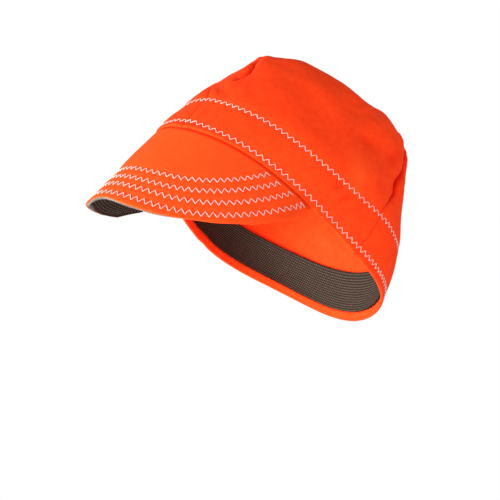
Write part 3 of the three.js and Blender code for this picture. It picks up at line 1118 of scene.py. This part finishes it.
@dataclass
class Peak:
    """The peak: its upper cloth turned round the edge, its ribbed lining, and the grey tape between them."""

    form: PeakForm
    spread: float = 69.0
    tuck: float = 4.0
    wall: float = 0.5
    roll: float = 0.55
    roll_turns: tuple[float, ...] = (20, 45, 70, 95, 120, 145, 165, 180)
    turned_back: tuple[float, ...] = (0.3, 0.6)
    shortest: float = 0.1
    column_step: float = 1.15
    row_step: float = 1.0
    tuck_rows: int = 4
    lining_inset: float = 0.5
    lining_column_step: float = 1.6
    lining_depth: float = 0.7
    lining_wall: float = 0.7
    lining_thinning: float = 0.6
    lining_shortest: float = 0.4
    lining_margins: tuple[tuple[float, float], ...] = (
        (-69, 0.8), (-36, 0.8), (-26, 2.6), (6, 2.6), (16, 1.9), (69, 1.9),
    )
    lining_rise: float = 0.5
    lining_rise_reach: tuple[float, float] = (2.6, 1.5)
    rib_pitch: float = 2.4
    rib_depth: float = 0.3
    rows_per_rib: int = 5
    tape_spread: float = 66.0
    tape_depth: float = 1.22
    tape_walls: tuple[tuple[float, float], ...] = (
        (-66, 0.5), (-26, 0.8), (-12, 1.5), (-2, 2.2), (8, 2.2), (16, 1.4), (30, 1), (66, 0.6),
    )
    tape_margins: tuple[tuple[float, float, float], ...] = (
        (-66, 0.3, 0.95), (-36, 0.3, 1.2), (-26, 0.2, 3.4), (-8, 0.2, 3.6), (6, 0, 3), (16, -0.2, 1.8),
        (25, -0.2, 1.6), (34, 0.35, 1.6), (66, 0.3, 1.4),
    )
    tape_rows: int = 5
    tape_edge: float = 0.1
    tape_width: float = 2.0
    tooth_pitch: float = 1.3
    tooth: float = 0.3
    outer_tooth_share: float = 0.4
    steps_per_tooth: int = 4

    def around(self, spread: float, step: float) -> tuple[Array, Array]:
        """Azimuths across the peak with even steps at the rim.

        Args:
            spread: The half spread in degrees.
            step: The step in millimetres.

        Returns:
            The azimuths and the lengths along the rim, from the middle.
        """
        samples = np.radians(np.linspace(-spread, spread, PEAK_SAMPLES))
        lengths = arc_lengths(self.form.plain(samples, np.zeros(PEAK_SAMPLES)))
        places = np.linspace(0, lengths[-1], round(lengths[-1] / step) + 1)
        return np.interp(places, lengths, samples), places - lengths[-1] / 2

    def top(self, material: bpy.types.Material) -> bpy.types.Object:
        """Builds the upper cloth, which turns round the peak's edge to its underside.

        Args:
            material: Its finish.

        Returns:
            The cloth.
        """
        azimuths, lengths = self.around(self.spread, self.column_step)
        reach, _ = self.form.ruling(azimuths)
        flat_rows = round(max(self.form.lengths) / self.row_step)
        shares = np.linspace(0, 1, flat_rows + 1)[:, None]
        turns = np.radians(self.roll_turns)[:, None]
        tuck = np.linspace(-self.tuck, 0, self.tuck_rows + 1)[:-1, None] + 0 * azimuths
        flat = shares * np.maximum(reach - self.roll, self.shortest)
        back = reach - self.roll - np.array(self.turned_back)[:, None]
        flat_depth = np.zeros((len(tuck) + len(flat), 1))
        back_depth = np.full((len(back), 1), self.roll)
        faces = []
        for radius in (self.roll, self.roll - self.wall):
            turned = reach - self.roll + radius * np.sin(turns)
            turned_depth = self.roll - radius * np.cos(turns)
            flat_part = flat_depth + self.roll - radius
            along = np.vstack([tuck, flat, turned, back])
            faces.append((along, np.vstack([flat_part, turned_depth, back_depth + radius])))
        (along, outer_depth), (inner_along, inner_depth) = faces
        around = np.broadcast_to(azimuths, along.shape)
        quilting = self.form.quilting(around, along)
        outer = self.form.base(around, along, outer_depth + quilting)
        inner = self.form.base(around, inner_along, inner_depth + quilting)
        pattern = np.stack([np.broadcast_to(lengths, along.shape), -along - outer_depth], axis=-1)
        return Wall(outer, inner, pattern).piece("peak_cloth", self.form.crown, material)

    def lining(self, material: bpy.types.Material) -> bpy.types.Object:
        """Builds the ribbed cloth under the peak.

        Args:
            material: Its finish.

        Returns:
            The cloth.
        """
        azimuths, lengths = self.around(self.spread - self.lining_inset, self.lining_column_step)
        edge, _ = self.form.ruling(azimuths)
        margin = smooth_curve(self.lining_margins, 1, np.degrees(azimuths))
        reach = np.maximum(edge - margin, self.lining_shortest)
        ribs = round(max(self.form.lengths) / self.rib_pitch)
        shares = np.linspace(0, 1, ribs * self.rows_per_rib + 1)[:, None]
        along = -self.tuck + shares * (reach + self.tuck)
        around = np.broadcast_to(azimuths, along.shape)
        rib = (1 - np.cos(2 * np.pi * shares * ribs)) / 2 + 0 * along
        far, near = self.lining_rise_reach
        rise = self.lining_rise * smooth_step(along, edge - far, edge - near)
        depth = self.lining_depth + rise + self.form.quilting(around, along)
        outer = self.form.base(around, along, depth)
        wall = self.lining_wall - self.lining_thinning * rise - self.rib_depth * rib
        inner = self.form.base(around, along, depth + wall)
        pattern = np.stack(np.broadcast_arrays(lengths, shares * ribs * self.rib_pitch), axis=-1)
        return Wall(outer, inner, pattern).piece("peak_lining_cloth", self.form.crown, material)

    def tape(self, material: bpy.types.Material) -> bpy.types.Object:
        """Builds the grey edge tape, with its two toothed sides.

        Args:
            material: Its finish.

        Returns:
            The tape.
        """
        azimuths, lengths = self.around(self.tape_spread, self.tooth_pitch / self.steps_per_tooth)
        reach, _ = self.form.ruling(azimuths)
        teeth = self.tooth * np.sin(2 * np.pi * lengths / self.tooth_pitch)
        degrees = np.degrees(azimuths)
        outer_margin = smooth_curve(self.tape_margins, 1, degrees) + self.outer_tooth_share * teeth
        inner_margin = smooth_curve(self.tape_margins, 2, degrees) + teeth
        shares = np.linspace(0, 1, self.tape_rows + 1)[:, None]
        along = reach - inner_margin + shares * (inner_margin - outer_margin)
        crest = np.sqrt(np.maximum(0, 1 - (2 * shares - 1) ** 2))
        around = np.broadcast_to(azimuths, along.shape)
        depth = self.tape_depth + self.form.quilting(around, along)
        outer = self.form.base(around, along, depth)
        wall = self.tape_edge + smooth_curve(self.tape_walls, 1, degrees) * crest
        inner = self.form.base(around, along, depth + wall)
        pattern = np.stack(np.broadcast_arrays(lengths, shares * self.tape_width), axis=-1)
        return Wall(outer, inner, pattern).piece("peak_edge_tape", self.form.crown, material)

    def build(self, finishes: dict[Slot, bpy.types.Material]) -> None:
        """Builds and dresses the peak's three cloths."""
        dressed(self.top(PaintedLightPeakCloth().material()), Slot.ORANGE, "peak_top")
        dressed(self.lining(PeakLining().material()), Slot.DARK, "peak_lining")
        dressed(self.tape(finishes[Slot.GREY]), Slot.GREY, "peak_edge")


@dataclass
class StitchMaker:
    """Geometry nodes that lay one arched leg of thread on every carrier point of a zigzag row."""

    thread: float = 0.56
    oval: tuple[float, float, float] = (1.08, 0.84, 1)
    rise: float = 0.2
    sink: float = 0.2
    arch_power: float = 0.55
    looseness: tuple[float, float] = (0.85, 1.2)
    overshoot: float = 0.25
    lap_lift: float = 0.4
    twists: float = 1.5
    seed: int = 7
    leg_points: int = 9
    thread_sides: int = 6

    def tree(self, material: bpy.types.Material) -> tuple[bpy.types.NodeTree, dict[str, float]]:
        """Builds the node tree.

        Args:
            material: The thread's finish.

        Returns:
            The tree, and the value of each of its named inputs by socket identifier.
        """
        tree = bpy.data.node_groups.new("zigzag_stitches", "GeometryNodeTree")
        tree.is_modifier = True
        for way in ("INPUT", "OUTPUT"):
            tree.interface.new_socket("Geometry", in_out=way, socket_type="NodeSocketGeometry")
        values: dict[str, float] = {}
        for name, kind, value in (
            ("Thread", "Float", self.thread * MM),
            ("Rise", "Float", self.rise * MM),
            ("Sink", "Float", self.sink * MM),
            ("Twists", "Float", self.twists),
            ("Seed", "Int", self.seed),
        ):
            socket = tree.interface.new_socket(name, in_out="INPUT", socket_type=f"NodeSocket{kind}")
            values[socket.identifier] = value
        nodes = NodeGraph(tree)
        given = nodes.add("NodeGroupInput")
        outward, direction = self.carried(nodes, "outward"), self.carried(nodes, "direction")
        axes = {"Primary Axis": outward, "Secondary Axis": direction}
        turn = nodes.add("FunctionNodeAxesToRotation", axes, primary_axis="Z", secondary_axis="X")
        length = self.carried(nodes, "leg_length", "FLOAT")
        height = self.drawn(nodes, given, *self.looseness)
        scale = nodes.add("ShaderNodeCombineXYZ", {"X": length, "Y": 1.0, "Z": height})
        legs = nodes.add("GeometryNodeInstanceOnPoints", {
            "Points": (given, "Geometry"),
            "Instance": self.leg(nodes, given),
            "Rotation": (turn, "Rotation"),
            "Scale": (scale, "Vector"),
        })
        shade = self.drawn(nodes, given, 0.0, 1.0)
        shaded = {"Geometry": (legs, "Instances"), "Name": "shade", "Value": shade}
        kept = nodes.add("GeometryNodeStoreNamedAttribute", shaded, data_type="FLOAT", domain="INSTANCE")
        real = nodes.add("GeometryNodeRealizeInstances", {"Geometry": (kept, "Geometry")})
        dress = nodes.add("GeometryNodeSetMaterial", {"Geometry": (real, "Geometry"), "Material": material})
        nodes.add("NodeGroupOutput", {"Geometry": (dress, "Geometry")})
        return tree, values

    @staticmethod
    def carried(nodes: NodeGraph, name: str, kind: str = "FLOAT_VECTOR") -> Output:
        """Reads a named attribute of the carrier points."""
        return nodes.add("GeometryNodeInputNamedAttribute", {"Name": name}, data_type=kind), "Attribute"

    @staticmethod
    def drawn(nodes: NodeGraph, given: bpy.types.Node, low: float, high: float) -> Output:
        """Draws a random number for each leg, from the tree's seed."""
        limits = {"Min": low, "Max": high, "Seed": (given, "Seed")}
        return nodes.add("FunctionNodeRandomValue", limits, data_type="FLOAT"), "Value"

    def leg(self, nodes: NodeGraph, given: bpy.types.Node) -> Output:
        """Adds the nodes of one leg of thread, of length 1 along X, arched towards Z and sunk at its ends.

        Args:
            nodes: The graph.
            given: Its input node.

        Returns:
            The leg's mesh.
        """
        line = nodes.add("GeometryNodeCurvePrimitiveLine", {"Start": (-0.5, 0, 0), "End": (0.5, 0, 0)})
        fine = nodes.add("GeometryNodeResampleCurve", {"Curve": (line, "Curve"), "Count": self.leg_points})
        share = (nodes.add("GeometryNodeSplineParameter"), "Factor")
        wave = nodes.math("SINE", nodes.math("MULTIPLY", share, math.pi))
        arch = nodes.math("POWER", wave, self.arch_power)
        lift = nodes.math("ADD", (given, "Rise"), (given, "Sink"))
        height = nodes.math("SUBTRACT", nodes.math("MULTIPLY", arch, lift), (given, "Sink"))
        offset = (nodes.add("ShaderNodeCombineXYZ", {"Z": height}), "Vector")
        bent = nodes.add("GeometryNodeSetPosition", {"Geometry": (fine, "Curve"), "Offset": offset})
        turns = nodes.math("MULTIPLY", share, (given, "Twists"))
        tilt = nodes.math("MULTIPLY", turns, 2 * math.pi)
        twisted = nodes.add("GeometryNodeSetCurveTilt", {"Curve": (bent, "Geometry"), "Tilt": tilt})
        radius = nodes.math("MULTIPLY", (given, "Thread"), 0.5)
        circle = {"Resolution": self.thread_sides, "Radius": radius}
        ring = nodes.add("GeometryNodeCurvePrimitiveCircle", circle)
        oval = nodes.add("GeometryNodeTransform", {"Geometry": (ring, "Curve"), "Scale": self.oval})
        path = {"Curve": (twisted, "Curve"), "Profile Curve": (oval, "Geometry"), "Fill Caps": True}
        tube = nodes.add("GeometryNodeCurveToMesh", path)
        return nodes.add("GeometryNodeSetShadeSmooth", {"Geometry": (tube, "Mesh")}), "Geometry"

    def carrier(self, row: ZigzagRow, crown: CrownForm) -> bpy.types.Object:
        """Makes the points that carry a row's legs, with their directions and lengths.

        Args:
            row: The row.
            crown: The crown, whose pitch the row takes.

        Returns:
            The carrier object.
        """
        holes, normals = row.holes()
        holes, normals = crown.worn(holes), crown.turned(normals)
        legs = holes[1:] - holes[:-1]
        is_lapped = np.arange(len(legs)) >= len(legs) - row.overlap
        middle = (holes[1:] + holes[:-1]) / 2 + normals[1:] * is_lapped[:, None] * self.lap_lift * MM
        mesh = bpy.data.meshes.new(row.name)
        mesh.from_pydata(middle.tolist(), [], [])
        lengths = np.linalg.norm(legs, axis=1) + self.overshoot * MM
        for name, kind, target, values in (
            ("outward", "FLOAT_VECTOR", "vector", unit(normals[1:] + normals[:-1])),
            ("direction", "FLOAT_VECTOR", "vector", unit(legs)),
            ("leg_length", "FLOAT", "value", lengths),
        ):
            attribute = mesh.attributes.new(name, kind, "POINT")
            attribute.data.foreach_set(target, np.asarray(values, np.float32).reshape(-1))
        piece = bpy.data.objects.new(row.name, mesh)
        bpy.context.scene.collection.objects.link(piece)
        return piece

    def build(self, rows: list[ZigzagRow], crown: CrownForm, material: bpy.types.Material) -> None:
        """Builds and dresses every row of stitches.

        Args:
            rows: The rows.
            crown: The crown, whose pitch they take.
            material: The thread's finish.
        """
        tree, values = self.tree(material)
        for row in rows:
            piece = self.carrier(row, crown)
            modifier = piece.modifiers.new("stitches", "NODES")
            modifier.node_group = tree
            for identifier, value in values.items():
                modifier[identifier] = value
            bpy.context.view_layer.update()
            graph = bpy.context.evaluated_depsgraph_get()
            made = bpy.data.meshes.new_from_object(piece.evaluated_get(graph), depsgraph=graph)
            piece.modifiers.clear()
            piece.data = made
            made.name = row.name
            dressed(piece, Slot.THREAD)


def pattern_waves(nodes: NodeGraph, pitch: float, turn: float, offset: float = 0.0) -> Output:
    """Adds soft parallel ribs over a piece's flat pattern.

    Args:
        nodes: The graph.
        pitch: The distance between ribs, in millimetres.
        turn: The direction across the ribs, in radians from the pattern's first axis.
        offset: The phase, in turns.

    Returns:
        An output that runs between 0 and 1.
    """
    flat = nodes.add("ShaderNodeUVMap", uv_map="pattern")
    parts = nodes.add("ShaderNodeSeparateXYZ", {"Vector": (flat, "UV")})
    first = nodes.math("MULTIPLY", (parts, "X"), 2 * math.pi * math.cos(turn) / (pitch * MM))
    second = nodes.math("MULTIPLY", (parts, "Y"), 2 * math.pi * math.sin(turn) / (pitch * MM))
    phase = nodes.math("ADD", nodes.math("ADD", first, second), 2 * math.pi * offset)
    return nodes.math("MULTIPLY_ADD", nodes.math("SINE", phase), 0.5, 0.5)


@dataclass(frozen=True)
class Grain:
    """Noise over a piece's own coordinates: its features in a metre, its finer layers and their strength."""

    scale: float
    layers: float = 3
    strength: float = 0.55

    def add(self, nodes: NodeGraph) -> Output:
        """Adds the noise, which runs between 0 and 1."""
        place = (nodes.add("ShaderNodeTexCoord"), "Object")
        sizes = {"Vector": place, "Scale": self.scale, "Detail": self.layers, "Roughness": self.strength}
        return nodes.add("ShaderNodeTexNoise", sizes), "Fac"


@dataclass(frozen=True)
class Finish:
    """A finish of cloth or thread: its relief's strength and depth in millimetres, and its surface."""

    name: str = "finish"
    relief: float = 0.5
    relief_depth: float = 0.2
    roughness: float = 0.9
    gloss: float = 0.5
    sheen: float = 0.0
    sheen_roughness: float = 0.5
    sheen_tint: Colour = (1.0, 1.0, 1.0)

    def weave(self, nodes: NodeGraph) -> tuple[Output, Output]:
        """Adds the finish's own nodes.

        Args:
            nodes: The node tree of its material.

        Returns:
            The outputs that give its colour and the height of its relief.
        """
        raise NotImplementedError

    def material(self) -> bpy.types.Material:
        """Makes the finish's material.

        Returns:
            The material.
        """
        material = bpy.data.materials.new(self.name)
        material.use_nodes = True
        nodes = NodeGraph(material.node_tree)
        colour, height = self.weave(nodes)
        relief = {"Strength": self.relief, "Distance": self.relief_depth * MM, "Height": height}
        surface = {
            "Base Color": colour,
            "Normal": (nodes.add("ShaderNodeBump", relief), "Normal"),
            "Roughness": self.roughness,
            "Specular IOR Level": self.gloss,
            "Sheen Weight": self.sheen,
            "Sheen Roughness": self.sheen_roughness,
            "Sheen Tint": (*self.sheen_tint, 1),
        }
        for name, value in surface.items():
            nodes.feed(material.node_tree.nodes["Principled BSDF"], name, value)
        return material


@dataclass(frozen=True)
class OrangeCloth(Finish):
    """Heavy cotton satin in bright orange with a fine twill, shade painted in its creases and light on
    bulges.
    """

    name: str = "orange_cloth"
    relief: float = 0.35
    relief_depth: float = 0.12
    gloss: float = 0.04
    sheen: float = 0.04
    sheen_roughness: float = 0.3
    sheen_tint: Colour = (1.0, 0.6, 0.35)
    pale: Colour = (0.93, 0.057, 0.0085)
    deep: Colour = (0.86, 0.0365, 0.005)
    # Painted shade: the deep red colour that creases take where shade falls.
    crease: Colour = (0.72, 0.009, 0.0025)
    # Painted light: the paler colour that a bulge takes.
    painted_bulge_light: Colour = (0.95, 0.082, 0.012)
    dye: Grain = Grain(190, 5, 0.8)
    dye_share: float = 0.6
    dye_range: tuple[float, float] = (0.38, 0.62)
    slub: Grain = Grain(900, 2)
    slub_height: float = 0.8
    twill: float = 0.62
    twill_turn: float = math.radians(62)
    weft: float = 0.45
    weft_height: float = 0.35

    def weave(self, nodes: NodeGraph) -> tuple[Output, Output]:
        """Adds the cloth's uneven dye, with shade painted in creases and light painted on a bulge, and its
        twill.

        Args:
            nodes: The node tree of its material.

        Returns:
            The outputs that give its colour and the height of its relief.
        """
        slub = self.slub.add(nodes)
        blotch = nodes.math("MULTIPLY", self.dye.add(nodes), self.dye_share)
        tone = nodes.math("MULTIPLY_ADD", slub, 1 - self.dye_share, blotch)
        low, high = self.dye_range
        spread = nodes.add("ShaderNodeMapRange", {"Value": tone, "From Min": low, "From Max": high})
        # Painted light and shade from the crown's points: light on a bulge below 0, shade in creases above 0.
        fold = (nodes.add("ShaderNodeAttribute", attribute_name="fold_shade"), "Fac")
        open_cloth = nodes.mix((spread, "Result"), self.deep, self.pale)
        painted_bulge_light = nodes.mix(nodes.math("MULTIPLY", fold, -1.0), open_cloth, self.painted_bulge_light)
        colour = nodes.mix(fold, painted_bulge_light, self.crease)
        weft = pattern_waves(nodes, self.weft, 0)
        twill = pattern_waves(nodes, self.twill, self.twill_turn)
        weave = nodes.math("MULTIPLY_ADD", weft, self.weft_height, twill)
        return colour, nodes.math("MULTIPLY_ADD", slub, self.slub_height, weave)


@dataclass(frozen=True)
class PaintedLightPeakCloth(OrangeCloth):
    """The same cloth stretched over the peak's stiffening, painted paler: painted light for the peak's
    stronger light.
    """

    name: str = "orange_peak_cloth_painted_light"
    # Painted light: paler than the crown's cloth.
    pale: Colour = (0.94, 0.073, 0.0105)
    deep: Colour = (0.92, 0.058, 0.0078)


@dataclass(frozen=True)
class RibbedLining(Finish):
    """Dark ribbed cloth with rows of paler knitted marks on the ribs' crests: partly painted light and shade.
    """

    name: str = "dark_lining"
    roughness: float = 0.92
    gloss: float = 0.08
    groove: Colour = (0.013, 0.008, 0.0055)
    mark: Colour = (0.115, 0.083, 0.06)
    mark_strength: float = 1.8
    row: float = 1.6
    mark_length: float = 1.7
    fuzz: Grain = Grain(1400)

    def weave(self, nodes: NodeGraph) -> tuple[Output, Output]:
        """Adds the marks along the ribs, half a mark further on in each row.

        Args:
            nodes: The node tree of its material.

        Returns:
            The outputs that give its colour and the height of its relief.
        """
        steps = (1 / self.mark_length, 0.5 / self.row)
        slanted = pattern_waves(nodes, 1 / math.hypot(*steps), math.atan2(steps[1], steps[0]))
        # The marks lie only on the ribs' crests, so the grooves keep the dark colour: painted light on the
        # crests and painted shade in the grooves, besides the knit's own marks.
        ribs = pattern_waves(nodes, self.row, math.pi / 2, -0.25)
        marks = nodes.math("MULTIPLY", nodes.math("MULTIPLY", slanted, ribs), self.fuzz.add(nodes))
        tone = nodes.math("MULTIPLY", marks, self.mark_strength)
        return nodes.mix(tone, self.groove, self.mark), marks


@dataclass(frozen=True)
class PeakLining(RibbedLining):
    """The coarser rib of the cloth under the peak."""

    name: str = "dark_peak_lining"
    mark: Colour = (0.15, 0.11, 0.085)
    row: float = 2.4
    mark_length: float = 2.0


@dataclass(frozen=True)
class EdgeTape(Finish):
    """Light grey tape with a coarse overlocked weave."""

    name: str = "grey_tape"
    relief: float = 0.6
    gloss: float = 0.2
    light: Colour = (0.24, 0.22, 0.185)
    shadow: Colour = (0.09, 0.078, 0.064)
    thread_pitch: float = 1.3
    thread_turn: float = math.radians(20)

    def weave(self, nodes: NodeGraph) -> tuple[Output, Output]:
        """Adds the overlocked threads across the tape."""
        threads = pattern_waves(nodes, self.thread_pitch, self.thread_turn)
        return nodes.mix(threads, self.shadow, self.light), threads


@dataclass(frozen=True)
class SewingThread(Finish):
    """White sewing thread, a little uneven from stitch to stitch."""

    name: str = "white_thread"
    relief: float = 0.4
    relief_depth: float = 0.08
    roughness: float = 0.6
    sheen: float = 0.15
    white: Colour = (0.7, 0.58, 0.52)
    soiled: Colour = (0.62, 0.45, 0.39)
    fibres: Grain = Grain(5000, 2)

    def weave(self, nodes: NodeGraph) -> tuple[Output, Output]:
        """Adds each stitch's own shade and the thread's fibres."""
        own = (nodes.add("ShaderNodeAttribute", attribute_name="shade"), "Fac")
        return nodes.mix(own, self.white, self.soiled), self.fibres.add(nodes)


@dataclass(frozen=True)
class Softbox:
    """A square area light that faces the cap: the direction that it stands in, its side and its power."""

    name: str
    azimuth: float
    elevation: float
    side: float
    power: float


@dataclass(frozen=True)
class Studio:
    """The pale floor, the soft lights, the camera, and white surroundings brighter than their light."""

    azimuth: float = 50.0
    elevation: float = 3.0
    distance: float = 1.5
    lens: float = 162.0
    sensor: float = 36.0
    aim_right: float = -0.0076
    aim_up: float = -0.0167
    floor_drop: float = 0.75
    floor_radius: float = 2.2
    backdrop: float = 1.0
    surround: float = 0.36
    floor_sides: int = 96
    floor_grey: float = 0.88
    floor_roughness: float = 0.8
    softbox_distance: float = 1.6
    softboxes: tuple[Softbox, ...] = (
        Softbox("key_softbox", -16, 0, 0.9, 57.0),
        Softbox("low_softbox", 20, -14, 0.6, 11.0),
        Softbox("fill_softbox", 60, 0, 0.9, 11.0),
        Softbox("rim_softbox", 145, 30, 0.9, 9.0),
    )

    @staticmethod
    def direction(azimuth: float, elevation: float) -> Vector:
        """The direction from the cap to something seen at an azimuth and an elevation, in degrees."""
        turn, rise = math.radians(azimuth), math.radians(elevation)
        return Vector((math.sin(turn) * math.cos(rise), -math.cos(turn) * math.cos(rise), math.sin(rise)))

    def camera(self) -> None:
        """Adds the camera."""
        back = self.direction(self.azimuth, self.elevation)
        turn = math.radians(self.azimuth)
        right = Vector((math.cos(turn), math.sin(turn), 0))
        up = back.cross(right)
        data = bpy.data.cameras.new("camera")
        data.lens = self.lens
        data.sensor_width = self.sensor
        data.sensor_fit = "HORIZONTAL"
        camera = bpy.data.objects.new("camera", data)
        place = right * self.aim_right + up * self.aim_up + back * self.distance
        camera.matrix_world = Matrix.Translation(place) @ back.to_track_quat("Z", "Y").to_matrix().to_4x4()
        bpy.context.scene.collection.objects.link(camera)
        bpy.context.scene.camera = camera

    def lights(self) -> None:
        """Adds the softboxes, each facing the cap."""
        for box in self.softboxes:
            data = bpy.data.lights.new(box.name, "AREA")
            data.shape = "SQUARE"
            data.size = box.side
            data.energy = box.power
            light = bpy.data.objects.new(box.name, data)
            toward = self.direction(box.azimuth, box.elevation)
            place = Matrix.Translation(toward * self.softbox_distance)
            light.matrix_world = place @ toward.to_track_quat("Z", "Y").to_matrix().to_4x4()
            bpy.context.scene.collection.objects.link(light)

    def surroundings(self) -> None:
        """Adds the white world and the floor."""
        world = bpy.data.worlds.new("white_studio")
        world.use_nodes = True
        nodes = NodeGraph(world.node_tree)
        background = world.node_tree.nodes["Background"]
        background.inputs["Color"].default_value = (1, 1, 1, 1)
        seen = (nodes.add("ShaderNodeLightPath"), "Is Camera Ray")
        strength = nodes.math("MULTIPLY_ADD", seen, self.backdrop - self.surround, self.surround)
        nodes.feed(background, "Strength", strength)
        bpy.context.scene.world = world
        turns = np.linspace(0, 2 * np.pi, self.floor_sides, endpoint=False)
        rim = np.stack([np.cos(turns), np.sin(turns), 0 * turns], axis=1) * self.floor_radius
        mesh = bpy.data.meshes.new("studio_floor")
        mesh.from_pydata((rim + [0, 0, -self.floor_drop]).tolist(), [], [list(range(len(rim)))])
        material = bpy.data.materials.new("floor_paint")
        material.use_nodes = True
        shader = material.node_tree.nodes["Principled BSDF"]
        shader.inputs["Base Color"].default_value = (*[self.floor_grey] * 3, 1)
        shader.inputs["Roughness"].default_value = self.floor_roughness
        mesh.materials.append(material)
        floor = bpy.data.objects.new("studio_floor", mesh)
        bpy.context.scene.collection.objects.link(floor)

    def build(self) -> None:
        """Builds the studio."""
        self.camera()
        self.lights()
        self.surroundings()
        bpy.context.scene.view_settings.view_transform = "Standard"


def main() -> None:
    """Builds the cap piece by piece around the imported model."""
    logging.basicConfig(level=logging.INFO, format="%(name)s: %(message)s")
    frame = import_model()
    LOG.info("solids: %s", ", ".join(sorted(frame["nodes"])))
    Studio().build()
    finishes = {
        Slot.ORANGE: OrangeCloth().material(),
        Slot.DARK: RibbedLining().material(),
        Slot.GREY: EdgeTape().material(),
        Slot.THREAD: SewingThread().material(),
    }
    form = CrownForm()
    peak_form = PeakForm(form)
    Crown(form).build(finishes)
    Sweatband(form).build(finishes)
    Peak(peak_form).build(finishes)
    StitchMaker().build(form.rows + peak_form.rows, form, finishes[Slot.THREAD])
    bpy.context.view_layer.update()


if __name__ == "__main__":
    main()
